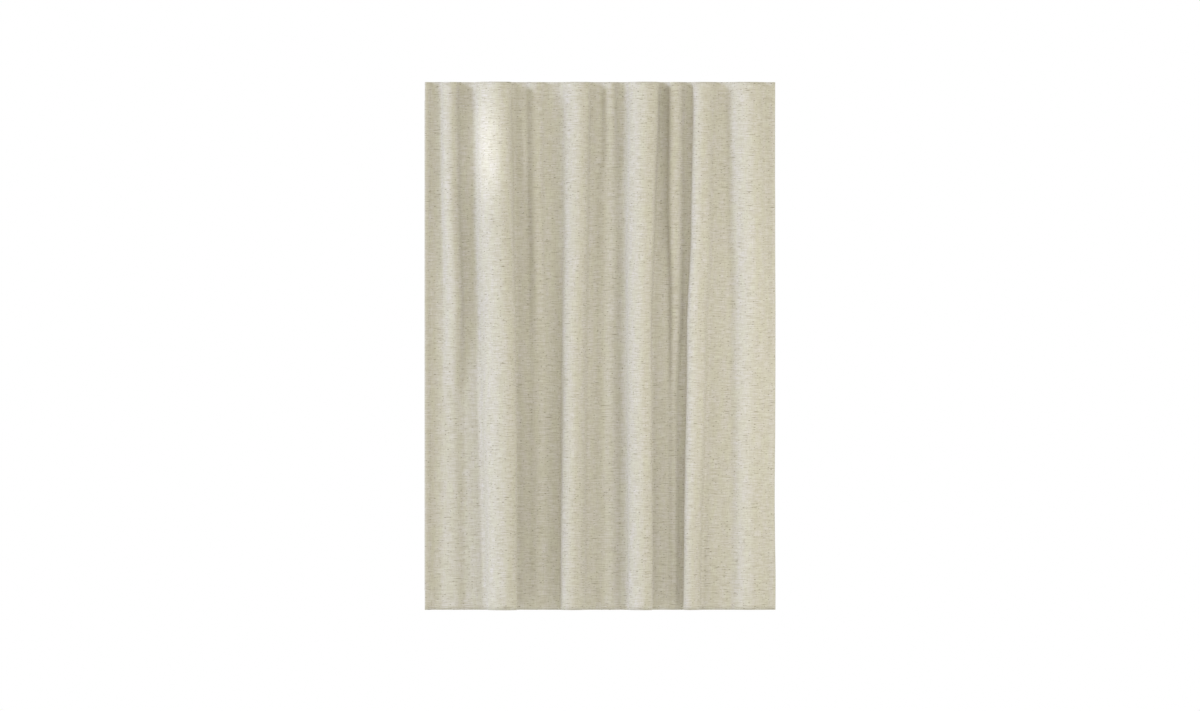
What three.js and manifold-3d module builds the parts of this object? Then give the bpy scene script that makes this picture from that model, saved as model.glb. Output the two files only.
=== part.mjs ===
// An unlined curtain panel, gathered on a corded heading tape and hung from ten plastic hooks.
// Millimetres, +Z up. X runs along the rail and -Y faces the room. The origin is on the line where the
// hooks hang, at the middle of the panel.
//
// The soft pieces are made flat and then gathered. Flat, a piece is a box whose X counts columns across
// the cloth, whose Z counts rows up it, and whose Y is the distance behind the middle of the cloth.
// hang() then puts every column and row where the folds take it.
import * as THREE from "three";
import { mergeVertices } from "three/addons/utils/BufferGeometryUtils.js";
import Module from "manifold-3d";

const wasm = await Module();
wasm.setup();

// Driving dimensions.
const DROP = 1370; // finished length, a 54 inch drop
const HUNG_WIDTH = 910; // gathered on its hooks
const FLAT_WIDTH = 1300; // one 1400 mm width of cloth, less two double side hems
const FRILL = 14; // the cloth's top edge above the hanging line
const FACE_THICKNESS = 1.4; // thicker than real cloth, so that the sheet is a sound solid at its size
const LAYER = 0.8; // one turned layer of cloth, or the tape
const HEM_THICKNESS = 2 * LAYER; // a hem is turned twice
const SEWN_GAP = 0.3; // between pieces that are sewn together
const TURNING_HEIGHT = 48; // the top of the cloth, turned down behind
const BOTTOM_HEM_HEIGHT = 50;
const TAPE_HEIGHT = 28;
const CORD_RADIUS = 1;
const CORD_SPREAD = 10; // each cord's distance from the middle of the tape
const KNOT_RADIUS = 2.2;

// The hook is an S of flat strip. Its crook goes over a ring or glider, and its leg up a pocket.
const STRIP = 1.8;
const HOOK_WIDTH = 6;
const CROOK_GAP = 6;
const CROOK_CORNER = 1.5;
const TIP_DROP = 9;
const LEG_GAP = 4;
const BEND_Z = -22; // centre of the lower bend
const LEG_TOP_Z = -14;
const SHANK_Y = -(CROOK_GAP + STRIP) / 2;
const LEG_Y = SHANK_Y - LEG_GAP - STRIP;
const BEND_Y = (LEG_Y + SHANK_Y) / 2;

// The pocket is a strap woven on to the tape, which the hook's leg goes up behind.
const POCKET_WIDTH = 11;
const POCKET_HEIGHT = 9;
const POCKET_FOOT_Z = -23.2;
const LEG_TO_TAPE = 2;

const TAPE_MIDDLE_Z = POCKET_FOOT_Z + POCKET_HEIGHT / 2;
const TAPE_BACK_Y = LEG_Y - STRIP / 2 - LEG_TO_TAPE;
// Cloth, turning, tape and cords lie on each other. These are their near faces, from the cloth's middle.
const BEHIND_FACE = FACE_THICKNESS / 2 + SEWN_GAP;
const BEHIND_TURNING = BEHIND_FACE + LAYER + SEWN_GAP;
const BEHIND_TAPE = BEHIND_TURNING + LAYER + SEWN_GAP;
const CLOTH_Y = TAPE_BACK_Y - BEHIND_TURNING - LAYER;

const TOP = FRILL;
const BOTTOM = FRILL - DROP;
const HEADING_END = TOP - TURNING_HEIGHT;
const HEM_START = BOTTOM + BOTTOM_HEM_HEIGHT;

// Rows from the hem up. The folds keep one shape through the heading, and change only below it.
const BODY_ROWS = 5;
const ROWS = [BOTTOM];
for (let i = 0; i <= BODY_ROWS; i++) ROWS.push(THREE.MathUtils.lerp(HEM_START, HEADING_END, i / BODY_ROWS));
ROWS.push(TOP);
const HEADING_ROW = ROWS.length - 1;
const fall = (z) => THREE.MathUtils.clamp((HEADING_END - z) / (HEADING_END - BOTTOM), 0, 1);

// The folds that stand forward of the hooks' plane, from left to right. Between them the cloth is flat.
// feet: where a fold starts and ends, at the heading and at the hem. cloth: the slack that it takes up
// there, beside the other folds. by: the share of the drop over which it changes. lean: how far its
// crest is pushed sideways at the heading and at the hem.
const FOLDS = [
  { feet: [[-416, -362], [-412, -350]], cloth: [34, 2], by: 0.6, lean: [0, 0] },
  { feet: [[-338, -220], [-306, -212]], cloth: [92, 92], by: 1, lean: [12, 14] },
  { feet: [[-192, -142], [-184, -130]], cloth: [11, 2], by: 0.5, lean: [0, 0] },
  { feet: [[-106, -18], [-108, -28]], cloth: [50, 48], by: 0.45, lean: [8, -6] },
  { feet: [[3, 48], [-14, 56]], cloth: [12, 3], by: 0.2, lean: [0, 0] },
  { feet: [[62, 162], [66, 138]], cloth: [84, 78], by: 0.45, lean: [4, 8] },
  { feet: [[176, 223], [178, 206]], cloth: [34, 2], by: 0.6, lean: [-8, 0] },
  { feet: [[236, 306], [216, 268]], cloth: [44, 54], by: 1, lean: [-8, -8] },
  { feet: [[324, 428], [338, 436]], cloth: [32, 8], by: 0.6, lean: [10, 0] },
];
const END_SLACK = 6; // the slack in each side edge, which turns out of the hooks' plane
const LEFT_TURN = 17; // how much of the width each side edge takes up
const RIGHT_TURN = 6; // the right side hem also takes in the flat cloth beside the last fold
const HOOKS = [-430, -351, -202, -136, -5, 55, 169, 230, 312, 434];

// A fold is nearly the shape that a strip bends to with the least effort, whose slope swings as a sine
// from foot to crest. 1 gives that sine, and less makes the foot tighter and the crest broader.
const BROAD_CREST = 0.6;
const swing = (along) => Math.sin(Math.PI * along ** BROAD_CREST);

// How steep a fold's flanks are, in radians. width is what it spans and flat is the cloth in it.
function steepness(width, flat) {
  let low = 0;
  let high = 2.3;
  const wanted = width / flat;
  const samples = 32;
  for (let step = 0; step < 24; step++) {
    const angle = (low + high) / 2;
    let mean = 0;
    for (let i = 0; i < samples; i++) {
      mean += Math.cos(angle * swing((i + 0.5) / samples)) / samples;
    }
    if (mean > wanted) low = angle;
    else high = angle;
  }
  return low;
}

// Points from the origin along a fold, which comes forward and goes back.
function bend(width, flat, steps) {
  const angle = steepness(width, flat);
  const fine = 8;
  const points = [new THREE.Vector2()];
  const at = new THREE.Vector2();
  for (let i = 0; i < steps * fine; i++) {
    const turn = (2 * (i + 0.5)) / (steps * fine);
    const slope = turn < 1 ? -angle * swing(turn) : angle * swing(2 - turn);
    at.x += (Math.cos(slope) * flat) / (steps * fine);
    at.y += (Math.sin(slope) * flat) / (steps * fine);
    if ((i + 1) % fine === 0) points.push(at.clone());
  }
  return points;
}

// Points from the origin along a side edge, which is the far half of a fold: it only goes back.
function edgeTurn(width, flat, steps) {
  const half = bend(2 * width, 2 * flat, 2 * steps).slice(steps);
  return half.map((p) => p.clone().sub(half[0]));
}

const FOLD_COLUMNS = 8;
const EDGE_COLUMNS = 2;
const blend = (pair, q) => THREE.MathUtils.lerp(pair[0], pair[1], q);

// The middle of the cloth from left to right, this share of the way down from heading to hem.
function section(share) {
  const shapes = FOLDS.map((fold) => {
    const q = THREE.MathUtils.smoothstep(share, 0, fold.by);
    const [left, right] = [0, 1].map((side) => blend([fold.feet[0][side], fold.feet[1][side]], q));
    return { left, right, cloth: blend(fold.cloth, q), lean: blend(fold.lean, q) };
  });
  const wanted = shapes.reduce((sum, shape) => sum + shape.cloth, 0);
  const slack = FLAT_WIDTH - HUNG_WIDTH - 2 * END_SLACK;
  const half = HUNG_WIDTH / 2;

  const edge = edgeTurn(LEFT_TURN, LEFT_TURN + END_SLACK, EDGE_COLUMNS);
  const depth = edge.at(-1).y;
  const line = edge.map((p) => new THREE.Vector2(p.x - half, p.y - depth));
  for (const { left, right, cloth, lean } of shapes) {
    const width = right - left;
    const points = bend(width, width + (slack * cloth) / wanted, FOLD_COLUMNS);
    const crest = points[FOLD_COLUMNS / 2].y;
    for (const p of points) line.push(new THREE.Vector2(left + p.x + (lean * p.y) / crest, p.y));
  }
  const last = edgeTurn(RIGHT_TURN, RIGHT_TURN + END_SLACK, EDGE_COLUMNS);
  line.push(...last.map((p) => new THREE.Vector2(half - RIGHT_TURN + p.x, p.y)));

  return line.map((p, i) => {
    const before = line[Math.max(i - 1, 0)];
    const after = line[Math.min(i + 1, line.length - 1)];
    const along = after.clone().sub(before).normalize();
    return { place: new THREE.Vector2(p.x, p.y + CLOTH_Y), back: new THREE.Vector2(-along.y, along.x) };
  });
}

const SECTIONS = ROWS.map((z) => section(fall(z)));
const HEADING = SECTIONS[HEADING_ROW];
const COLUMNS = HEADING.length - 1;

// Takes flat geometry into the folds. Where level is given, Z is already in millimetres, above it, and
// the piece lies in the heading.
function hang(geometry, level) {
  const position = geometry.getAttribute("position");
  for (let i = 0; i < position.count; i++) {
    const column = Math.round(position.getX(i));
    const row = level === undefined ? Math.round(position.getZ(i)) : HEADING_ROW;
    const { place, back } = SECTIONS[row][column];
    const behind = position.getY(i);
    const z = level === undefined ? ROWS[row] : level + position.getZ(i);
    position.setXYZ(i, place.x + back.x * behind, place.y + back.y * behind, z);
  }
  return geometry;
}

// A layer of cloth between two columns and two rows, with its faces this far behind the cloth's middle.
function layer([left, right], [low, high], near, far) {
  const [wide, tall] = [right - left, high - low];
  const flat = new THREE.BoxGeometry(wide, far - near, tall, wide, 1, tall);
  return hang(flat.translate(left + wide / 2, (near + far) / 2, low + tall / 2));
}

function tape() {
  const flat = new THREE.BoxGeometry(COLUMNS, LAYER, TAPE_HEIGHT, COLUMNS, 1, 1);
  return hang(flat.translate(COLUMNS / 2, BEHIND_TURNING + LAYER / 2, 0), TAPE_MIDDLE_Z);
}

function solidOf(geometry) {
  const bare = geometry.clone().deleteAttribute("normal").deleteAttribute("uv");
  const merged = mergeVertices(bare, 1e-3);
  return new wasm.Manifold(
    new wasm.Mesh({
      numProp: 3,
      vertProperties: merged.getAttribute("position").array,
      triVerts: new Uint32Array(merged.index.array),
    }),
  );
}

function geometryOf(solid) {
  const mesh = solid.getMesh();
  const geometry = new THREE.BufferGeometry();
  geometry.setAttribute("position", new THREE.BufferAttribute(mesh.vertProperties, 3));
  geometry.setIndex(new THREE.BufferAttribute(mesh.triVerts, 1));
  geometry.computeVertexNormals();
  return geometry;
}

// A draw cord lies on the tape from side to side, with a stop knot at each end.
function cord(height) {
  const ends = [1, COLUMNS - 1];
  const length = ends[1] - ends[0];
  const flat = new THREE.CylinderGeometry(CORD_RADIUS, CORD_RADIUS, length, 6, length);
  flat.rotateZ(-Math.PI / 2).translate(COLUMNS / 2, BEHIND_TAPE + CORD_RADIUS, 0);
  let whole = solidOf(hang(flat, height));
  for (const column of ends) {
    const { place, back } = HEADING[column];
    const knot = new THREE.SphereGeometry(KNOT_RADIUS, 8, 6);
    const behind = BEHIND_TAPE + KNOT_RADIUS;
    knot.translate(place.x + back.x * behind, place.y + back.y * behind, height);
    whole = whole.add(solidOf(knot));
  }
  return geometryOf(whole);
}

// A hook's side view, with Y to the right and Z up, seen along the rail.
function hookOutline() {
  const half = STRIP / 2;
  const inside = CROOK_GAP / 2;
  const tip = inside + half;
  const corner = inside - CROOK_CORNER;
  const outer = CROOK_CORNER + STRIP;
  const outline = new THREE.Shape();
  outline.moveTo(LEG_Y - half, LEG_TOP_Z);
  outline.lineTo(LEG_Y - half, BEND_Z);
  outline.absarc(BEND_Y, BEND_Z, LEG_GAP / 2 + STRIP, Math.PI, 2 * Math.PI, false);
  outline.lineTo(-inside, -CROOK_CORNER);
  outline.absarc(-corner, -CROOK_CORNER, CROOK_CORNER, Math.PI, Math.PI / 2, true);
  outline.absarc(corner, -CROOK_CORNER, CROOK_CORNER, Math.PI / 2, 0, true);
  outline.lineTo(inside, -TIP_DROP);
  outline.absarc(tip, -TIP_DROP, half, Math.PI, 2 * Math.PI, false);
  outline.lineTo(inside + STRIP, -CROOK_CORNER);
  outline.absarc(corner, -CROOK_CORNER, outer, 0, Math.PI / 2, false);
  outline.absarc(-corner, -CROOK_CORNER, outer, Math.PI / 2, Math.PI, false);
  outline.lineTo(SHANK_Y - half, BEND_Z);
  outline.absarc(BEND_Y, BEND_Z, LEG_GAP / 2, 0, -Math.PI, true);
  outline.lineTo(LEG_Y + half, LEG_TOP_Z);
  outline.absarc(LEG_Y, LEG_TOP_Z, half, 0, Math.PI, false);
  return outline;
}

function hook() {
  const solid = new THREE.ExtrudeGeometry(hookOutline(), {
    depth: HOOK_WIDTH,
    bevelEnabled: false,
    curveSegments: 4,
  });
  const axes = [new THREE.Vector3(0, 1, 0), new THREE.Vector3(0, 0, 1), new THREE.Vector3(1, 0, 0)];
  solid.translate(0, 0, -HOOK_WIDTH / 2);
  return solid.applyMatrix4(new THREE.Matrix4().makeBasis(...axes));
}

// A pocket is a strap of tape, seen from above as a U whose feet are on the tape.
function pocket() {
  const outside = POCKET_WIDTH / 2;
  const inside = outside - LAYER;
  const strap = BEND_Y + LAYER / 2;
  const foot = TAPE_BACK_Y + SEWN_GAP;
  const corners = [
    [-outside, foot],
    [-inside, foot],
    [-inside, strap - LAYER],
    [inside, strap - LAYER],
    [inside, foot],
    [outside, foot],
    [outside, strap],
    [-outside, strap],
  ];
  const outline = new THREE.Shape(corners.map(([x, y]) => new THREE.Vector2(x, y)));
  return new THREE.ExtrudeGeometry(outline, { depth: POCKET_HEIGHT, bevelEnabled: false });
}

// A blank care label, sewn by its top edge on the back of the right side hem.
const LABEL = { width: 24, height: 42, thickness: 0.4, inset: 8, z: -1200 };
function label() {
  const row = ROWS.findIndex((z) => z > LABEL.z);
  const { place } = SECTIONS[row].at(-EDGE_COLUMNS - 1);
  const behind = place.y + BEHIND_FACE + HEM_THICKNESS + SEWN_GAP + LABEL.thickness / 2;
  const card = new THREE.BoxGeometry(LABEL.width, LABEL.thickness, LABEL.height);
  return card.translate(place.x - LABEL.inset - LABEL.width / 2, behind, LABEL.z);
}

const linen = new THREE.MeshStandardMaterial({ color: 0xd3cdbd, roughness: 0.9, metalness: 0 });
const polyester = new THREE.MeshStandardMaterial({ color: 0xeeece6, roughness: 0.7, metalness: 0 });
const nylon = new THREE.MeshStandardMaterial({ color: 0xf0efeb, roughness: 0.4, metalness: 0 });
const satin = new THREE.MeshStandardMaterial({ color: 0xf4f3ef, roughness: 0.5, metalness: 0 });

const curtain = new THREE.Group();
function add(name, geometry, material, x = 0, z = 0) {
  const mesh = new THREE.Mesh(geometry, material);
  mesh.name = name;
  mesh.position.set(x, 0, z);
  curtain.add(mesh);
}

const FIRST_ROW_ABOVE_HEM = 1;
const LAST_ROW_BELOW_HEADING = HEADING_ROW - 1;
const BODY = [FIRST_ROW_ABOVE_HEM, LAST_ROW_BELOW_HEADING];
const RIGHT_HEM = [COLUMNS - EDGE_COLUMNS - 1, COLUMNS];

const TURNING_ROWS = [LAST_ROW_BELOW_HEADING, HEADING_ROW];
const BEHIND_HEM = BEHIND_FACE + HEM_THICKNESS;
const HALF_FACE = FACE_THICKNESS / 2;

add("face_cloth", layer([0, COLUMNS], [0, HEADING_ROW], -HALF_FACE, HALF_FACE), linen);
add("top_turning", layer([0, COLUMNS], TURNING_ROWS, BEHIND_FACE, BEHIND_FACE + LAYER), linen);
add("left_side_hem", layer([0, EDGE_COLUMNS], BODY, BEHIND_FACE, BEHIND_HEM), linen);
add("right_side_hem", layer(RIGHT_HEM, BODY, BEHIND_FACE, BEHIND_HEM), linen);
add("bottom_hem", layer([0, COLUMNS], [0, FIRST_ROW_ABOVE_HEM], BEHIND_FACE, BEHIND_HEM), linen);
add("heading_tape", tape(), polyester);
add("draw_cord_upper", cord(TAPE_MIDDLE_Z + CORD_SPREAD), polyester);
add("draw_cord_lower", cord(TAPE_MIDDLE_Z - CORD_SPREAD), polyester);
add("care_label", label(), satin);
HOOKS.forEach((x, i) => {
  const number = String(i + 1).padStart(2, "0");
  add(`tape_pocket_${number}`, pocket(), polyester, x, POCKET_FOOT_Z);
  add(`curtain_hook_${number}`, hook(), nylon, x);
});

export default curtain;
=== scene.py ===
# %% [markdown]
# # A gathered curtain panel
# This lesson finishes one unlined curtain: a width of linen-look cloth, gathered on a corded heading tape
# and hung from ten nylon hooks. A finished model of the plain solids comes in first as a fixed frame. It
# says where every piece is and how the hooks slide, so each piece made here takes its place from it.

# %% Load the frame
import math

import bmesh
import bpy
from mathutils import Matrix, Vector, noise


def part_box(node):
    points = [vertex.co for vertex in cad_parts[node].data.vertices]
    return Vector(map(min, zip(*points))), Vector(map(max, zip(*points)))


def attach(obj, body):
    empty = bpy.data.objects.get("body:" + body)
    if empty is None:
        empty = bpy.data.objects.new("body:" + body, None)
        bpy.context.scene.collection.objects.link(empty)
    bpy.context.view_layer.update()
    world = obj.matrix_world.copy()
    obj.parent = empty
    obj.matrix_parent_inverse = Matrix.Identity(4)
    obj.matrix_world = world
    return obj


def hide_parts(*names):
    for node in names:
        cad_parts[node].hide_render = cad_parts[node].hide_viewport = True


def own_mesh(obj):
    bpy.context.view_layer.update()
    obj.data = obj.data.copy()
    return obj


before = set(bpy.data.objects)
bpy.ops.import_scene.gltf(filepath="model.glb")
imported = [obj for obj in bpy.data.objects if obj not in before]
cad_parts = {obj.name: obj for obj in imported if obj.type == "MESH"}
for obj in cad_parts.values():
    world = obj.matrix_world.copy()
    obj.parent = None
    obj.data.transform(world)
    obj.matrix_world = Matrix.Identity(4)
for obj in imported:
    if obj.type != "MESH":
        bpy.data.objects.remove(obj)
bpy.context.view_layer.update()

# %% [markdown]
# Curtain makers work in millimetres and Blender works in metres. Every size below is in millimetres, and
# is turned to metres in one place, where a point goes into a mesh. The hung sizes are read from the frame.
# Two sizes can't be read from it: the width of the cloth when it lies flat, and that of the hung panel
# measured along the middle of the cloth.

# %% Measure the frame
MM = 0.001
FLAT_WIDTH = 1300
HUNG_WIDTH = 910


def box_mm(node):
    """A node's lowest and highest corners, in millimetres."""
    low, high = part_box(node)
    return low / MM, high / MM


cloth_low, cloth_high = box_mm("face_cloth")
tape_low, tape_high = box_mm("heading_tape")
pocket_low, _ = box_mm("tape_pocket_01")
turning_low, _ = box_mm("top_turning")
_, hem_high = box_mm("bottom_hem")

TOP = cloth_high.z
BOTTOM = cloth_low.z
HEADING_END = turning_low.z
HEM_START = hem_high.z
SEWN_GAP = 0.3  # what the frame leaves between two pieces that are sewn together
TAPE_BACK = 2.9  # the back of the tape, measured from the middle of the cloth
CLOTH_Y = pocket_low.y - SEWN_GAP - TAPE_BACK  # the middle of the cloth, where it lies flat at the hooks
print("drop", round(TOP - BOTTOM), "cloth at", round(CLOTH_Y, 2), "behind the hooks' line")

hook_names = sorted(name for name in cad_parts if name.startswith("curtain_hook_"))
hook_places = [(box_mm(name)[0].x + box_mm(name)[1].x) / 2 for name in hook_names]
print("hooks at", [round(x) for x in hook_places])

# %% [markdown]
# ## Camera, floor and light
# A curtain is looked at square on and from far away, so that its top and its hem both read as straight
# lines. A long lens at 40 m does that. The floor is a pale disc well below the hem. The light is a soft,
# cool panel from the left and in front, like a window's, and the surround sheds a warmer light from all
# round, though it shows as white. So the crests are cool and the hollows warm, and every fold is drawn.
# A white board close to the right edge throws a little light back into the folds that face away.

# %% Camera
CAMERA_AWAY = 40000
SEEN_WIDTH = 3119  # what the frame spans at the curtain
SEEN_LOWER = 25  # how far the middle of the frame is below the middle of the curtain
SENSOR = 36

camera_data = bpy.data.cameras.new("Camera")
camera_data.sensor_width = SENSOR
camera_data.lens = SENSOR * CAMERA_AWAY / SEEN_WIDTH
camera_data.clip_end = 100
camera = bpy.data.objects.new("Camera", camera_data)
camera.location = Vector((0, -CAMERA_AWAY, (TOP + BOTTOM) / 2 - SEEN_LOWER)) * MM
camera.rotation_euler = (math.radians(90), 0, 0)
bpy.context.scene.collection.objects.link(camera)
bpy.context.scene.camera = camera
print("lens", round(camera_data.lens, 1), "mm")


# %% Two small helpers for colours and nodes
def linear(hex_colour):
    """An sRGB hex colour as the linear values that a shader takes."""
    parts = [int(hex_colour[i:i + 2], 16) / 255 for i in (1, 3, 5)]
    return [p / 12.92 if p <= 0.04045 else ((p + 0.055) / 1.055) ** 2.4 for p in parts] + [1.0]


print("a middle grey, #808080, is", round(linear("#808080")[0], 3), "in linear light")


def add_node(tree, kind, inputs=None, **settings):
    """Adds a node, sets its settings, and gives its inputs a value or a link."""
    node = tree.nodes.new("ShaderNode" + kind)
    for name, value in settings.items():
        setattr(node, name, value)
    for name, value in (inputs or {}).items():
        if isinstance(value, bpy.types.NodeSocket):
            tree.links.new(value, node.inputs[name])
        else:
            node.inputs[name].default_value = value
    return node


def new_material(name):
    """A material with an empty node tree, and its tree."""
    material = bpy.data.materials.new(name)
    material.use_nodes = True
    material.node_tree.nodes.clear()
    return material, material.node_tree


def finish_material(tree, **inputs):
    """Adds the Principled shader, with these inputs, and the output."""
    named = {name.replace("_", " "): value for name, value in inputs.items()}
    shader = add_node(tree, "BsdfPrincipled", named)
    add_node(tree, "OutputMaterial", {"Surface": shader.outputs[0]})


# %% Floor and surround
FLOOR_RADIUS = 2400
FLOOR_BELOW_HEM = 620

studio, studio_tree = new_material("Floor, matt white paint")
finish_material(studio_tree, Base_Color=linear("#EDEDEB"), Roughness=0.8)

floor_mesh = bpy.data.meshes.new("studio_floor")
bm = bmesh.new()
floor_place = Matrix.Translation(Vector((0, 0, BOTTOM - FLOOR_BELOW_HEM)) * MM)
bmesh.ops.create_circle(bm, cap_ends=True, segments=96, radius=FLOOR_RADIUS * MM, matrix=floor_place)
bm.to_mesh(floor_mesh)
bm.free()
floor_mesh.materials.append(studio)
floor = bpy.data.objects.new("studio_floor", floor_mesh)
bpy.context.scene.collection.objects.link(floor)

SURROUND_LIGHT = 0.95  # what the surround sheds, beside the pure white that it shows

world = bpy.data.worlds.new("White surround")
world.use_nodes = True
tree = world.node_tree
tree.nodes.clear()
shown = add_node(tree, "Background", {"Color": (1, 1, 1, 1), "Strength": 1.0}).outputs[0]
shed = add_node(
    tree, "Background", {"Color": (0.98, 0.957, 0.79, 1), "Strength": SURROUND_LIGHT}
).outputs[0]
seen = add_node(tree, "LightPath").outputs["Is Camera Ray"]
surround = add_node(tree, "MixShader", {0: seen, 1: shed, 2: shown}).outputs[0]
add_node(tree, "OutputWorld", {"Surface": surround})
bpy.context.scene.world = world
bpy.context.scene.view_settings.view_transform = "Standard"
print("floor:", FLOOR_BELOW_HEM, "mm below the hem, surround:", SURROUND_LIGHT)


# %% Lamps
def add_panel(name, aim_x, side, up, away, size, watts, colour):
    """Adds a round soft lamp. side is its angle to the right of straight in front, and up above level."""
    side, up = math.radians(side), math.radians(up)
    way = Vector((math.sin(side) * math.cos(up), -math.cos(side) * math.cos(up), math.sin(up)))
    data = bpy.data.lights.new(name, "AREA")
    data.shape = "DISK"
    data.size = size * MM
    data.energy = watts
    data.color = colour
    panel = bpy.data.objects.new(name, data)
    panel.location = (Vector((aim_x, 0, (TOP + BOTTOM) / 2)) + way * away) * MM
    panel.rotation_euler = way.to_track_quat("Z", "Y").to_euler()
    bpy.context.scene.collection.objects.link(panel)


# The key is far enough away to light both edges of the cloth alike. The fill is near the right edge.
add_panel("Soft panel", 0, side=-68, up=22, away=10000, size=3000, watts=455, colour=(0.68, 0.76, 1.0))
add_panel("White board", 380, side=35, up=0, away=1100, size=900, watts=2.8, colour=(1.0, 0.98, 0.96))

# %% [markdown]
# A window's light is never quite even. A faint spot, stretched to an upright oval, brightens the crest of
# the second fold just under the heading, as a gap beside a blind would.

# %% Bright patch
PATCH_PLACE = Vector((-288, -60, -160))  # on the crest of the second fold
PATCH_SIDE = math.radians(-30)  # where its light comes from, to the right of straight in front
PATCH_WIDE = 96
PATCH_TALL = 3.6  # times its width
PATCH_AWAY = 3000
PATCH_WATTS = 210
GAP_RADIUS = 60

patch_data = bpy.data.lights.new("Window gap", "SPOT")
patch_data.spot_size = 2 * math.atan(PATCH_WIDE / 2 / PATCH_AWAY)
patch_data.spot_blend = 1.0
patch_data.shadow_soft_size = GAP_RADIUS * MM
patch_data.energy = PATCH_WATTS
patch_data.color = (0.95, 0.97, 1.0)
patch = bpy.data.objects.new("Window gap", patch_data)
patch_way = Vector((math.sin(PATCH_SIDE), -math.cos(PATCH_SIDE), 0))
patch.location = (PATCH_PLACE + patch_way * PATCH_AWAY) * MM
patch.rotation_euler = patch_way.to_track_quat("Z", "Y").to_euler()
patch.scale = (1, PATCH_TALL, 1)
bpy.context.scene.collection.objects.link(patch)
print("patch:", PATCH_WIDE, "mm wide and", round(PATCH_WIDE * PATCH_TALL), "mm tall")

# %% [markdown]
# ## The materials
# Each one starts from what it is and how it was made. A pattern's scale is always one over its real size
# in metres, because the cloth's UV map is laid out in metres on the flat cloth: U runs across it and V up
# it, so the yarns follow every fold.


# %% A pattern of yarns
def yarns(tree, flat, across, up, detail=2.0, shift=0.0):
    """Noise whose blotches are this many millimetres across and up the flat cloth."""
    scale = (1 / (across * MM), 1 / (up * MM), 1)
    stretched = add_node(tree, "Mapping", {"Vector": flat, "Location": (shift, shift, 0), "Scale": scale})
    grain = add_node(
        tree, "TexNoise", {"Vector": stretched.outputs[0], "Scale": 1.0, "Detail": detail, "Roughness": 0.5}
    )
    return grain.outputs[0]


def between(tree, value, low, high, start=0.0, end=1.0):
    """Spreads the part of a value between low and high over start to end, and holds it there."""
    spread = add_node(
        tree,
        "MapRange",
        {"Value": value, "From Min": low, "From Max": high, "To Min": start, "To Max": end},
    )
    return spread.outputs[0]


def tint(tree, amount, below, above, blend="MIX"):
    """Colours mixed by an amount from 0 to 1."""
    mixed = add_node(tree, "Mix", {0: amount, 6: below, 7: above}, data_type="RGBA", blend_type=blend)
    return mixed.outputs[2]


# %% [markdown]
# Linen-look cloth is a plain weave of matt polyester yarns that are spun thick and thin, as flax is. The
# thick stretches, called slubs, lie as short darker dashes in the weft, which runs across, and as fainter
# ones in the warp. The yarns are 0.7 mm apart. From across a room they can't be seen one by one, so the
# streaks are drawn as the bundles of 3 or 4 yarns that the eye joins. Each yarn takes the dye a little
# differently, which makes the soft drift between a pinkish and a greenish grey.

# %% Linen-look cloth
YARN = 0.7

linen, tree = new_material("Linen-look polyester, plain weave with slub yarns")
flat = add_node(tree, "UVMap", uv_map="Cloth").outputs[0]

drift = between(tree, yarns(tree, flat, 18, 60, shift=3.0), 0.38, 0.62)
colour = tint(tree, drift, linear("#D3CFD0"), linear("#D0CEC5"))

weft = yarns(tree, flat, 30, 4 * YARN, detail=3.0)
weft_light = between(tree, weft, 0.36, 0.62)
colour = tint(tree, weft_light, linear("#C1BCB3"), colour)

warp = yarns(tree, flat, 4 * YARN, 16, detail=2.0, shift=7.0)
warp_shade = between(tree, warp, 0.45, 0.7, 0.0, 0.42)
colour = tint(tree, warp_shade, colour, linear("#B9B4A6"))

slub = between(tree, yarns(tree, flat, 26, 2.2, detail=2.0, shift=13.0), 0.62, 0.74)
colour = tint(tree, add_node(tree, "Math", {0: slub, 1: 0.95}, operation="MULTIPLY").outputs[0],
              colour, linear("#8E8675"))

fleck = between(tree, yarns(tree, flat, 7.0, 2.4, detail=0.0, shift=29.0), 0.72, 0.80)
colour = tint(tree, add_node(tree, "Math", {0: fleck, 1: 0.9}, operation="MULTIPLY").outputs[0],
              colour, linear("#857D6C"))

height = add_node(tree, "Math", {0: weft, 1: warp}, operation="ADD").outputs[0]
height = add_node(tree, "Math", {0: slub, 1: 0.6, 2: height}, operation="MULTIPLY_ADD").outputs[0]
relief = add_node(tree, "Bump", {"Height": height, "Strength": 0.2, "Distance": 0.5 * MM}).outputs[0]
finish_material(
    tree,
    Base_Color=colour,
    Roughness=0.9,
    Normal=relief,
    Specular_IOR_Level=0.2,
    Sheen_Weight=0.15,
    Sheen_Roughness=0.5,
)
print("linen:", len(tree.nodes), "nodes")

# %% [markdown]
# Heading tape is a narrow woven polyester ribbon, bleached off-white. Its weft ribs run up and down every
# millimetre, close enough to read as a fine cord-like ground. The draw cords are braided from the same
# yarn, so they have a little more sheen. Hooks are injection-moulded nylon in its natural milky white.

# %% Tape, cord, thread, satin and nylon
RIB = 1.0

tape_cloth, tree = new_material("Heading tape, woven polyester ribbon")
flat = add_node(tree, "UVMap", uv_map="Cloth").outputs[0]
ribs = add_node(
    tree, "TexWave", {"Vector": flat, "Scale": 1 / (20 * RIB * MM) * math.pi, "Distortion": 0.4}
).outputs[1]
soil = yarns(tree, flat, 25, 8)
colour = tint(tree, between(tree, soil, 0.3, 0.7), linear("#E2DFD6"), linear("#ECEAE3"))
colour = tint(tree, between(tree, ribs, 0.0, 1.0, 0.0, 0.3), colour, linear("#CFCBBF"))
relief = add_node(tree, "Bump", {"Height": ribs, "Strength": 0.4, "Distance": 0.2 * MM}).outputs[0]
finish_material(tree, Base_Color=colour, Roughness=0.75, Normal=relief, Sheen_Weight=0.1)

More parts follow.
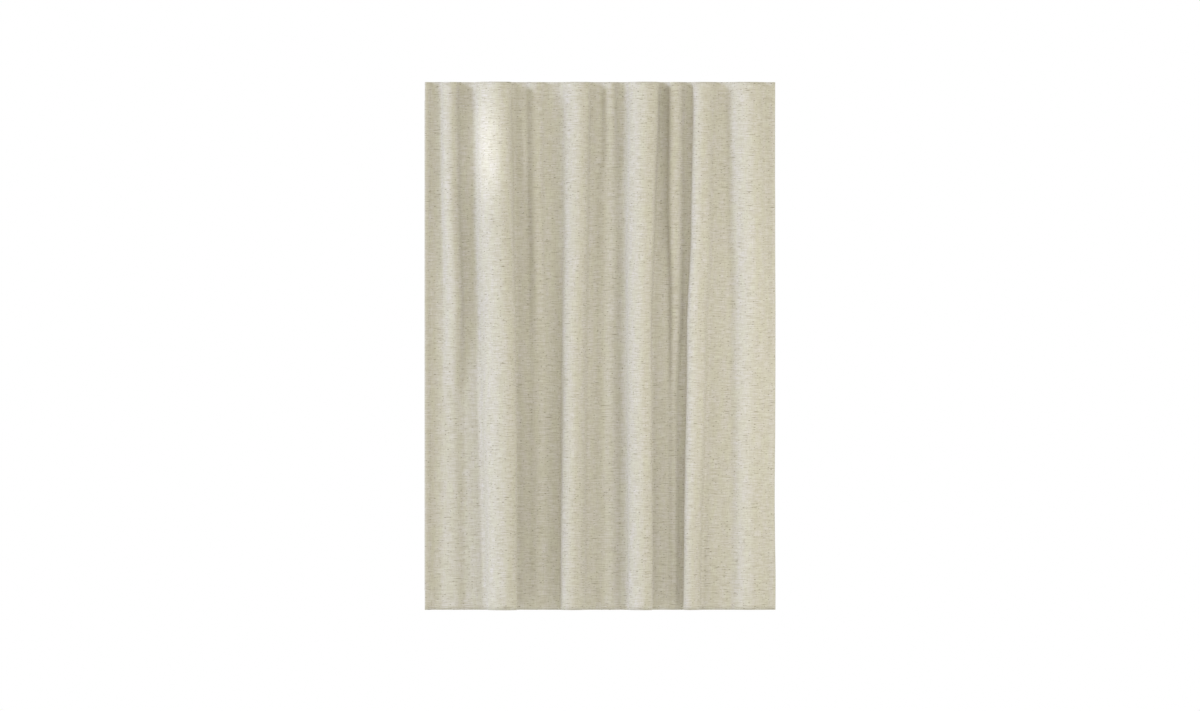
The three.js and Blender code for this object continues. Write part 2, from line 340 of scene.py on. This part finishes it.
cord_yarn, tree = new_material("Draw cord, braided polyester")
flat = add_node(tree, "UVMap", uv_map="Cloth").outputs[0]
strands = yarns(tree, flat, 1.5, 1.2)
colour = tint(tree, strands, linear("#DAD7CE"), linear("#F1EFEA"))
relief = add_node(tree, "Bump", {"Height": strands, "Strength": 0.4, "Distance": 0.2 * MM}).outputs[0]
finish_material(tree, Base_Color=colour, Roughness=0.55, Normal=relief, Sheen_Weight=0.2)

thread, tree = new_material("Sewing thread, spun polyester")
place = add_node(tree, "TexCoord").outputs["Object"]
twist = add_node(tree, "TexNoise", {"Vector": place, "Scale": 1 / (2 * MM), "Detail": 1.0}).outputs[0]
colour = tint(tree, twist, linear("#BDB4A2"), linear("#D5CEBF"))
finish_material(tree, Base_Color=colour, Roughness=0.6, Sheen_Weight=0.1)

satin, tree = new_material("Label, polyester satin ribbon")
flat = add_node(tree, "UVMap", uv_map="Cloth").outputs[0]
floats = yarns(tree, flat, 6, 0.5)
colour = tint(tree, floats, linear("#E9E7E1"), linear("#F6F5F1"))
relief = add_node(tree, "Bump", {"Height": floats, "Strength": 0.2, "Distance": 0.1 * MM}).outputs[0]
finish_material(tree, Base_Color=colour, Roughness=0.38, Normal=relief, Anisotropic=0.5)

nylon, tree = new_material("Curtain hook, injection-moulded nylon")
place = add_node(tree, "TexCoord").outputs["Object"]
cloudy = add_node(tree, "TexNoise", {"Vector": place, "Scale": 1 / (9 * MM), "Detail": 2.0}).outputs[0]
grain = add_node(tree, "TexNoise", {"Vector": place, "Scale": 1 / (0.8 * MM), "Detail": 1.0}).outputs[0]
colour = tint(tree, cloudy, linear("#E6E3DA"), linear("#F2F0EA"))
relief = add_node(tree, "Bump", {"Height": grain, "Strength": 0.12, "Distance": 0.1 * MM}).outputs[0]
finish_material(
    tree,
    Base_Color=colour,
    Roughness=between(tree, grain, 0.3, 0.7, 0.34, 0.5),
    Normal=relief,
    Subsurface_Weight=0.15,
    Subsurface_Scale=1.5 * MM,
)
print("materials:", len(bpy.data.materials))

# %% [markdown]
# ## How the cloth hangs
# Seen from above, a gathered curtain is one long strip squeezed into a shorter line. It lies flat where a
# hook holds the tape, and between the hooks its slack comes forward in folds. A cloth simulation would
# put the folds where it liked. Here a table says where each fold goes, as a dresser trains a curtain, and
# the cloth's length across is kept at every height, so what one fold loses on the way down another gains.
#
# A fold is nearly the shape that a strip takes with the least effort, whose slope swings as a sine from
# foot to foot. The more cloth it holds in the same span, the steeper its sides, until they hang over. Soft
# cloth sags at the foot and stays broad at the crest, so the swing is fastest near the foot.


# %% One wave of cloth
BROAD_CREST = 0.6  # 1 is a plain sine, and less makes the foot tighter and the crest broader


def swing(along):
    """How far the slope has swung, from 0 to 1, at this part of the way from foot to crest."""
    return math.sin(math.pi * along ** BROAD_CREST)


def steepness(share):
    """The steepest slope, in radians, of a wave that spans this share of the cloth in it."""
    low, high = 0.0, 2.3
    for _ in range(24):
        angle = (low + high) / 2
        mean = sum(math.cos(angle * swing((i + 0.5) / 32)) for i in range(32)) / 32
        if mean > share:
            low = angle
        else:
            high = angle
    return low


def wave(span, cloth, steps):
    """Points along a fold, which comes forward and goes back."""
    angle = steepness(span / cloth)
    x = y = 0.0
    points = [(x, y)]
    for i in range(steps):
        turn = 2 * (i + 0.5) / steps
        slope = -angle * swing(turn) if turn < 1 else angle * swing(2 - turn)
        x += math.cos(slope) * cloth / steps
        y += math.sin(slope) * cloth / steps
        points.append((x, y))
    return [(px * span / x, py) for px, py in points]


def edge_turn(span, cloth, steps):
    """Points along the turn of a side edge, which only goes back."""
    half = wave(2 * span, 2 * cloth, 2 * steps)[steps:]
    x0, y0 = half[0]
    return [(x - x0, y - y0) for x, y in half]


print("three parts of cloth in a span of two are", round(math.degrees(steepness(2 / 3))), "degrees steep")

# %% [markdown]
# Nine folds stand forward. Each one is written as stages down the drop, and between two stages its
# numbers change smoothly. The broad folds run all the way down. Narrow ones start at the heading, where
# the gathers are small, and fade out as the cloth's weight pulls them flat.

# %% The folds
# stage: share of the drop, left foot, right foot, slack it takes up, how far its crest leans sideways
FOLDS = [
    [(0, -416, -362, 34, 0), (0.15, -416, -358, 30, 0), (0.4, -408, -350, 18, 2), (0.6, -412, -350, 1, 0)],
    [(0, -338, -220, 92, 12), (0.2, -334, -216, 96, 14), (0.5, -320, -212, 96, 14), (1, -306, -212, 92, 14)],
    [(0, -192, -142, 11, 0), (0.15, -190, -142, 11, 0), (0.3, -186, -138, 7, 0), (0.5, -184, -130, 1, 0)],
    [(0, -106, -18, 50, 8), (0.2, -106, -20, 48, 4), (0.45, -106, -24, 46, -4), (1, -108, -28, 48, -6)],
    [(0, 3, 48, 12, 0), (0.09, 2, 52, 9, 0), (0.18, -12, 56, 4, 0), (1, -14, 56, 3, 0)],
    [(0, 62, 162, 84, 4), (0.2, 60, 152, 84, 4), (0.45, 62, 140, 82, 4), (1, 66, 138, 78, 8)],
    [(0, 176, 223, 34, -8), (0.2, 174, 222, 26, -8), (0.4, 178, 218, 12, -4), (0.6, 178, 206, 2, 0)],
    [(0, 236, 306, 44, -8), (0.25, 230, 298, 46, -8), (0.45, 222, 286, 50, -8), (1, 216, 268, 54, -8)],
    [(0, 324, 428, 32, 10), (0.2, 328, 434, 30, 12), (0.4, 336, 438, 22, 10), (0.6, 338, 436, 8, 0)],
]
LEFT_TURN = 17  # the width that each side edge takes up where it turns out of line
RIGHT_TURN = 6
END_SLACK = 6


def ease(t):
    return t * t * (3 - 2 * t)


def stage_at(stages, share):
    """A fold's numbers at this share of the drop."""
    before = after = stages[0]
    for stage in stages:
        before, after = after, stage
        if share <= stage[0]:
            break
    if share >= after[0]:
        return after[1:]
    t = ease((share - before[0]) / (after[0] - before[0]))
    return [a + (b - a) * t for a, b in zip(before[1:], after[1:])]


for number, stages in enumerate(FOLDS, 1):
    left, right, _, _ = stage_at(stages, 0)
    print("fold", number, "spans", right - left, "mm at the heading")

# %% [markdown]
# A section is the cloth's whole line at one height. It is first drawn fold by fold and then walked again
# in equal steps of cloth, so that a column of the mesh is one warp yarn from heading to hem.

# %% The cloth's line at one height
SAMPLES = 1000
FOLD_STEPS = 60
sections = {}


def drawn_line(share):
    """The cloth's middle from left to right, as uneven points."""
    shapes = [stage_at(stages, share) for stages in FOLDS]
    slack = FLAT_WIDTH - HUNG_WIDTH - 2 * END_SLACK
    each = slack / sum(shape[2] for shape in shapes)
    half = HUNG_WIDTH / 2
    edge = edge_turn(LEFT_TURN, LEFT_TURN + END_SLACK, FOLD_STEPS // 4)
    depth = edge[-1][1]
    line = [(x - half, y - depth) for x, y in edge]
    for left, right, cloth, lean in shapes:
        points = wave(right - left, right - left + cloth * each, FOLD_STEPS)
        crest = min(y for _, y in points)
        line += [(left + x + lean * y / crest, y) for x, y in points]
    edge = edge_turn(RIGHT_TURN, RIGHT_TURN + END_SLACK, FOLD_STEPS // 10)
    line += [(half - RIGHT_TURN + x, y) for x, y in edge]
    return line


def section(share):
    """The line as SAMPLES equal steps of cloth."""
    key = round(share, 5)
    if key in sections:
        return sections[key]
    line = drawn_line(share)
    lengths = [0.0]
    for (x0, y0), (x1, y1) in zip(line, line[1:]):
        lengths.append(lengths[-1] + math.hypot(x1 - x0, y1 - y0))
    even, i = [], 0
    for n in range(SAMPLES + 1):
        wanted = lengths[-1] * n / SAMPLES
        while i < len(line) - 2 and lengths[i + 1] < wanted:
            i += 1
        t = (wanted - lengths[i]) / max(lengths[i + 1] - lengths[i], 1e-9)
        (x0, y0), (x1, y1) = line[i], line[i + 1]
        even.append((x0 + (x1 - x0) * t, y0 + (y1 - y0) * t))
    sections[key] = even
    return even


for share in (0, 0.5, 1):
    depth = -min(y for _, y in section(share))
    print("at", share, "of the drop the deepest fold is", round(depth), "mm")

# %% [markdown]
# On top of the trained folds comes what no dresser controls: slow swells, and finer ripples along the
# folds, a few tenths of a millimetre to a few millimetres deep. Both are long up the cloth and short
# across it, and both die out at the heading, where the tape holds the cloth.


# %% Where any point of the cloth is
# swell: how deep it is, how long across and up the cloth, and which layer of the noise it takes
SWELLS = [(3.0, 75, 420, 1.7), (1.1, 26, 170, 5.3), (0.35, 9, 60, 9.1)]
FADE = 5  # the swells reach their full depth at one part in this many of the drop


def swell(s, z):
    """How far the cloth stands forward of its trained line."""
    share = max(0.0, (HEADING_END - z) / (HEADING_END - BOTTOM))
    depths = [deep * noise.noise(Vector((s / wide, z / tall, layer))) for deep, wide, tall, layer in SWELLS]
    return sum(depths) * min(1.0, FADE * share)


def hung(s, z, behind=0.0):
    """The place of a point s across the flat cloth, at height z and this far behind its middle."""
    share = min(max((HEADING_END - z) / (HEADING_END - BOTTOM), 0.0), 1.0)
    line = section(share)
    along = s / FLAT_WIDTH * SAMPLES
    i = min(max(int(along), 0), SAMPLES - 1)
    (x0, y0), (x1, y1) = line[i], line[i + 1]
    dx, dy = x1 - x0, y1 - y0
    out = (behind - swell(s, z)) / math.hypot(dx, dy)
    x = x0 + dx * (along - i) - dy * out
    y = y0 + dy * (along - i) + dx * out
    return Vector((x, y + CLOTH_Y, z)) * MM


centre = hung(FLAT_WIDTH / 2, (TOP + BOTTOM) / 2)
print("the middle of the flat cloth hangs at", [round(v, 3) for v in centre], "m")

# %% [markdown]
# ## Making pieces from patches
# Every sewn piece here is a patch: a flat grid whose vertices are then put where the cloth hangs. The
# grid's flat place becomes its UV map, in metres, before it is bent. A Solidify modifier gives the patch
# its thickness.


# %% Patches and pieces
def spread(start, end, most):
    """Even steps from start to end, none longer than most."""
    count = max(1, math.ceil(abs(end - start) / most))
    return [start + (end - start) * i / count for i in range(count + 1)]


def add_patch(bm, columns, rows, place, flat_place):
    """Adds a grid. place and flat_place turn a column and a row into a point and into its UV."""
    layer = bm.loops.layers.uv.get("Cloth") or bm.loops.layers.uv.new("Cloth")
    made = bmesh.ops.create_grid(bm, x_segments=columns, y_segments=rows, size=0.5)["verts"]
    spot = {v: (round((v.co.x + 0.5) * columns), round((v.co.y + 0.5) * rows)) for v in made}
    for face in {face for v in made for face in v.link_faces}:
        for loop in face.loops:
            loop[layer].uv = [value * MM for value in flat_place(*spot[loop.vert])]
    for v in made:
        v.co = place(*spot[v])
    return made


def make_piece(name, bm, material, thickness=None):
    """Turns a bmesh into a smooth-shaded piece in this material."""
    mesh = bpy.data.meshes.new(name)
    bm.to_mesh(mesh)
    bm.free()
    mesh.shade_smooth()
    mesh.materials.append(material)
    piece = bpy.data.objects.new(name, mesh)
    bpy.context.scene.collection.objects.link(piece)
    if thickness:
        solid = piece.modifiers.new("Thickness", "SOLIDIFY")
        solid.thickness = thickness * MM
        solid.offset = 0
    return piece


def cloth_piece(name, across, up, thickness, material):
    """A piece of the hung cloth. across and up list (place on the flat cloth, distance behind it)."""
    bm = bmesh.new()
    add_patch(
        bm,
        len(across) - 1,
        len(up) - 1,
        lambda c, r: hung(across[c][0], up[r][0], across[c][1] + up[r][1]),
        lambda c, r: (across[c][0], up[r][0]),
    )
    return make_piece(name, bm, material, thickness)


# %% [markdown]
# ## The face cloth
# The columns are 3.5 mm apart, fine enough for the tight turns of a fold, and the rows are 12.5 mm apart,
# because cloth that hangs changes slowly up its drop. Such cloth is about 0.6 mm thick.

# %% Face cloth
CLOTH = 0.6
COLUMN = 3.5
ROW = 12.5

face = cloth_piece(
    "face_cloth_drape",
    [(s, 0) for s in spread(0, FLAT_WIDTH, COLUMN)],
    [(z, 0) for z in spread(BOTTOM, TOP, ROW)],
    CLOTH,
    linen,
)
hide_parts("face_cloth")
print("face cloth:", len(face.data.polygons), "faces")

# %% [markdown]
# ## Turnings and hems
# A raw edge would fray, so every edge is folded behind and sewn. Each turned piece starts at the fold, in
# a small half circle round the cloth's edge, and then lies flat behind the face. The side and bottom hems
# are turned twice, so they are two layers thick. The top is turned once, and the tape covers its raw edge.

# %% Turned edges
HEM_BEHIND = 1.6
TURNING_BEHIND = 1.4
HEM = 1.3  # two layers
TURNING = 0.7  # one layer
TURN_ROW = 12
TURN_COLUMN = 4
LEFT_HEM_WIDTH = LEFT_TURN + END_SLACK
RIGHT_HEM_WIDTH = 27


def turned(edge, inner, behind, most):
    """From a folded edge round to the cloth's raw edge: (place, distance behind the face)."""
    way = 1 if inner > edge else -1
    radius = behind / 2
    start = edge + way * radius
    round_edge = [math.radians(a) for a in (40, 70, 100, 130, 160)]
    fold = [(start - way * radius * math.sin(a), radius * (1 - math.cos(a))) for a in round_edge]
    return fold + [(place, behind) for place in spread(start, inner, most)]


all_across = [(s, 0) for s in spread(0, FLAT_WIDTH, COLUMN)]
all_up = [(z, 0) for z in spread(HEM_START, HEADING_END, ROW)]

turned_pieces = {
    "top_turning": (all_across, turned(TOP, HEADING_END, TURNING_BEHIND, TURN_ROW), TURNING),
    "bottom_hem": (all_across, turned(BOTTOM, HEM_START, HEM_BEHIND, TURN_ROW), HEM),
    "left_side_hem": (turned(0, LEFT_HEM_WIDTH, HEM_BEHIND, TURN_COLUMN), all_up, HEM),
    "right_side_hem": (
        turned(FLAT_WIDTH, FLAT_WIDTH - RIGHT_HEM_WIDTH, HEM_BEHIND, TURN_COLUMN), all_up, HEM
    ),
}
sewn = [face]
for node, (across, up, thickness) in turned_pieces.items():
    piece = cloth_piece(node + "_turned", across, up, thickness, linen)
    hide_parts(node)
    sewn.append(piece)
print("turned edges:", [piece.name for piece in sewn[1:]])

# %% [markdown]
# ## The heading tape and its cords
# The tape is sewn flat on the back of the top. Two cords run its whole length under little woven loops,
# and a maker pulls them to gather the cloth. A knot at each end stops them from slipping through. A cord
# is a patch too, rolled up: its rows go round it and its columns go along. Its surface is lumpy, because
# it is braided.

# %% Tape
TAPE = 0.8
TAPE_ROW = 5

tape = cloth_piece(
    "heading_tape_woven",
    all_across,
    [(z, TAPE_BACK - TAPE / 2) for z in spread(tape_low.z, tape_high.z, TAPE_ROW)],
    TAPE,
    tape_cloth,
)
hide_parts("heading_tape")
sewn.append(tape)
print("tape:", round(tape_high.z - tape_low.z), "mm wide")

# %% Cords
CORD_RADIUS = 1.0
CORD_GAP = 0.15  # from the tape
CORD_STEPS = 1200
BRAID = 3.0
AROUND = 8
KNOT_SPOTS = (11.5, FLAT_WIDTH - 6)  # across the flat cloth
KNOT_SIZE = 0.55
KNOT_STEPS = 60
KNOT_CORD_RADIUS = 0.85  # a knot is pulled tight, so its cord is thinner
KNOT_BEHIND = 0.6  # how much further back than the cord a knot stands


def add_cord(bm, path, steps, radius):
    """Adds a closed round cord along a path, which turns 0 to 1 into a point. Gives its length."""
    centres = [path(i / steps) for i in range(steps + 1)]
    rings = []
    for i, centre in enumerate(centres):
        way = (centres[min(i + 1, steps)] - centres[max(i - 1, 0)]).normalized()
        side = way.cross(Vector((0.1, 0.2, 1))).normalized()
        rings.append((centre, side, way.cross(side)))
    length = sum((b - a).length for a, b in zip(centres, centres[1:])) / MM

    def on_ring(c, r):
        centre, side, other = rings[c]
        angle = -2 * math.pi * r / AROUND
        lump = 1 + 0.09 * math.sin(2 * math.pi * c * length / steps / BRAID + 2 * angle)
        return centre + (side * math.cos(angle) + other * math.sin(angle)) * radius * lump * MM

    made = add_patch(bm, steps, AROUND, on_ring, lambda c, r: (c * length / steps, r * 0.8))
    bmesh.ops.remove_doubles(bm, verts=made, dist=0.01 * MM)
    bmesh.ops.holes_fill(bm, edges=[edge for edge in bm.edges if edge.is_boundary], sides=AROUND)
    return length


def knot_path(centre):
    """A cord's way through an overhand knot round a centre."""

    def path(t):
        a = 2 * math.pi * t
        x = math.sin(a) + 2 * math.sin(2 * a)
        z = math.cos(a) - 2 * math.cos(2 * a)
        return centre + Vector((x, 0.9 * math.sin(3 * a), z)) * KNOT_SIZE * MM

    return path


def make_draw_cord(node):
    """Makes a cord with its knots. Gives the piece, its height and its length from knot to knot."""
    low, high = box_mm(node)
    z = (low.z + high.z) / 2
    behind = TAPE_BACK + CORD_GAP + CORD_RADIUS
    first, last = KNOT_SPOTS
    bm = bmesh.new()
    length = add_cord(bm, lambda t: hung(first + (last - first) * t, z, behind), CORD_STEPS, CORD_RADIUS)
    for spot in KNOT_SPOTS:
        add_cord(bm, knot_path(hung(spot, z, behind + KNOT_BEHIND)), KNOT_STEPS, KNOT_CORD_RADIUS)
    bmesh.ops.recalc_face_normals(bm, faces=bm.faces[:])
    piece = make_piece(node + "_braided", bm, cord_yarn)
    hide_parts(node)
    return piece, z, length


cord_heights = []
for node in ("draw_cord_upper", "draw_cord_lower"):
    piece, z, length = make_draw_cord(node)
    cord_heights.append(z)
    sewn.append(piece)
    print(piece.name, round(length), "mm from knot to knot")

# %% Woven loops over the cords
LOOP_EVERY = 32
LOOP_STRAP = 0.35
LOOP_WIDE = 1.6  # half its width
LOOP_TALL = 2.1  # half its height
LOOP_RISE = 2 * CORD_RADIUS + 0.55
LOOP_STEPS = 8

loops = bmesh.new()
for z in cord_heights:
    for s in spread(LOOP_EVERY / 2, FLAT_WIDTH - LOOP_EVERY / 2, LOOP_EVERY):
        add_patch(
            loops,
            2,
            LOOP_STEPS,
            lambda c, r: hung(
                s + LOOP_WIDE * (c - 1),
                z - LOOP_TALL * math.cos(math.pi * r / LOOP_STEPS),
                TAPE_BACK - 0.1 + LOOP_RISE * math.sin(math.pi * r / LOOP_STEPS) ** 0.7,
            ),
            lambda c, r: (s + LOOP_WIDE * (c - 1), z + r),
        )
print("loops:", len(loops.faces) // (2 * LOOP_STEPS))
sewn.append(make_piece("cord_loops", loops, tape_cloth, LOOP_STRAP))

# %% [markdown]
# ## Pockets and hooks
# A pocket is a strap woven on to the tape. A hook's leg goes up behind it, so it stands off the tape in a
# soft arch. The hooks' shape is right in the frame. A moulded hook has softened edges though, so a copy of
# each is bevelled and stands for it.

# %% Pockets
POCKET_STRAP = 0.7
ARCH_STEPS = 20


def make_pocket(node, body):
    """Makes the arched strap that a hook's leg goes up behind."""
    low, high = box_mm(node)
    middle = (low.x + high.x) / 2
    half = (high.x - low.x) / 2 - POCKET_STRAP / 2
    foot = low.y - SEWN_GAP
    rise = high.y - POCKET_STRAP / 2 - foot
    heights = spread(low.z, high.z, 1.5)

    def arch(c, r):
        angle = math.pi * (1 - c / ARCH_STEPS)
        pinch = 1 - 0.05 * abs(2 * r / (len(heights) - 1) - 1) ** 3
        x = middle + half * math.copysign(abs(math.cos(angle)) ** 0.55, math.cos(angle))
        y = foot + rise * pinch * abs(math.sin(angle)) ** 0.5
        return Vector((x, y, heights[r])) * MM

    bm = bmesh.new()
    add_patch(bm, ARCH_STEPS, len(heights) - 1, arch, lambda c, r: (c, heights[r]))
    piece = make_piece(node + "_woven", bm, tape_cloth, POCKET_STRAP)
    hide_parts(node)
    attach(piece, body)
    return piece


# %% Hooks
SOFT_EDGE = 0.35


def make_hook(node, body):
    """Copies a hook from the frame and softens its edges."""
    bm = bmesh.new()
    bm.from_mesh(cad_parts[node].data)
    bmesh.ops.remove_doubles(bm, verts=bm.verts[:], dist=0.005 * MM)
    bmesh.ops.dissolve_limit(bm, angle_limit=math.radians(2), verts=bm.verts[:], edges=bm.edges[:])
    sharp = [edge for edge in bm.edges if edge.is_manifold and edge.calc_face_angle() > math.radians(50)]
    bmesh.ops.bevel(
        bm, geom=sharp, offset=SOFT_EDGE * MM, affect="EDGES", segments=2, profile=0.5, material=-1
    )
    piece = make_piece(node + "_moulded", bm, nylon)
    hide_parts(node)
    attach(piece, body)
    return piece


for name in hook_names:
    number = name[-2:]
    body = "panel" if number == "01" else "hook_" + number
    make_pocket("tape_pocket_" + number, body)
    hook = make_hook(name, body)
print("pockets and hooks:", len(hook_names), "of each, with", len(hook.data.polygons), "faces on a hook")

# %% [markdown]
# ## The care label
# A blank satin label hangs behind the leading edge, low down, sewn in by its top. It is one of the sewn
# pieces, so it moves with the hem. Satin is springy, so its free end stands off.

# %% Label
LABEL = 0.25
LABEL_COLUMNS = 6
LABEL_ROWS = 10
LABEL_CURL = 2.5
LABEL_CUP = 0.8

label_low, label_high = box_mm("care_label")
label_wide = label_high.x - label_low.x
label_tall = label_high.z - label_low.z


def label_place(c, r):
    down = 1 - r / LABEL_ROWS
    curl = LABEL_CURL * down ** 2 + LABEL_CUP * math.sin(math.pi * c / LABEL_COLUMNS) * down
    x = label_low.x + label_wide * c / LABEL_COLUMNS
    return Vector((x, label_high.y + curl, label_low.z + label_tall * r / LABEL_ROWS)) * MM


def label_flat(c, r):
    return label_wide * c / LABEL_COLUMNS, label_tall * r / LABEL_ROWS


bm = bmesh.new()
add_patch(bm, LABEL_COLUMNS, LABEL_ROWS, label_place, label_flat)
label = make_piece("care_label_satin", bm, satin, LABEL)
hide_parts("care_label")
sewn.append(label)
print("label:", round(label_wide), "by", round(label_tall), "mm")

# %% [markdown]
# ## Stitches
# The tape is held by two rows of lockstitch that go through to the front. Hems are sewn blind: a full row
# of stitches on the hem behind, and only a prick of thread on the face. Each stitch is a small lens of
# thread laid along the row and half sunk in the cloth.

# %% Rows of stitches
STITCH = 3.2
STITCH_EVERY = 4.2
PRICK = 0.9
PRICK_EVERY = 13
THREAD_RADIUS = 0.26
TAPE_ROW_IN = 2  # from the tape's edge to its row of stitches
HEM_ROW_IN = 3
ACROSS_MARGIN = 5  # from the ends of a row to the edges of the cloth
UP_MARGIN = 4


def add_stitch(bm, place, onward, length):
    """Adds one stitch at a place, lying towards a second place."""
    turn = (onward - place).to_track_quat("X", "Z").to_matrix().to_4x4()
    size = Matrix.Diagonal((length / 2 * MM, THREAD_RADIUS * MM, THREAD_RADIUS * MM, 1))
    shape = Matrix.Translation(place) @ turn @ size
    bmesh.ops.create_icosphere(bm, subdivisions=1, radius=1, matrix=shape)


def row_across(bm, z, behind, every=STITCH_EVERY, length=STITCH):
    for s in spread(ACROSS_MARGIN, FLAT_WIDTH - ACROSS_MARGIN, every):
        add_stitch(bm, hung(s, z, behind), hung(s + 1, z, behind), length)


def row_up(bm, s, behind, every=STITCH_EVERY, length=STITCH):
    for z in spread(HEM_START + UP_MARGIN, HEADING_END - UP_MARGIN, every):
        add_stitch(bm, hung(s, z, behind), hung(s, z + 1, behind), length)


FRONT = -CLOTH / 2
HEM_BACK = HEM_BEHIND + HEM / 2

stitch_rows = {"tape_stitching": bmesh.new(), "hem_stitching": bmesh.new()}
for z in (tape_low.z + TAPE_ROW_IN, tape_high.z - TAPE_ROW_IN):
    row_across(stitch_rows["tape_stitching"], z, TAPE_BACK)
    row_across(stitch_rows["tape_stitching"], z, FRONT)
row_across(stitch_rows["hem_stitching"], HEM_START - HEM_ROW_IN, HEM_BACK)
row_across(stitch_rows["hem_stitching"], HEM_START - HEM_ROW_IN, FRONT, PRICK_EVERY, PRICK)
for s in (LEFT_HEM_WIDTH - HEM_ROW_IN, FLAT_WIDTH - RIGHT_HEM_WIDTH + HEM_ROW_IN):
    row_up(stitch_rows["hem_stitching"], s, HEM_BACK)
    row_up(stitch_rows["hem_stitching"], s, FRONT, PRICK_EVERY, PRICK)
for name, bm in stitch_rows.items():
    piece = make_piece(name, bm, thread)
    sewn.append(piece)
    print(name, len(piece.data.polygons), "faces")

# %% [markdown]
# ## How it moves
# The curtain is drawn towards its first hook, and the rest close up behind it. Every sewn piece is tied to
# the panel's body and given a mesh of its own.

# %% Attach the sewn pieces to the panel
for piece in sewn:
    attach(piece, "panel")
    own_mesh(piece)
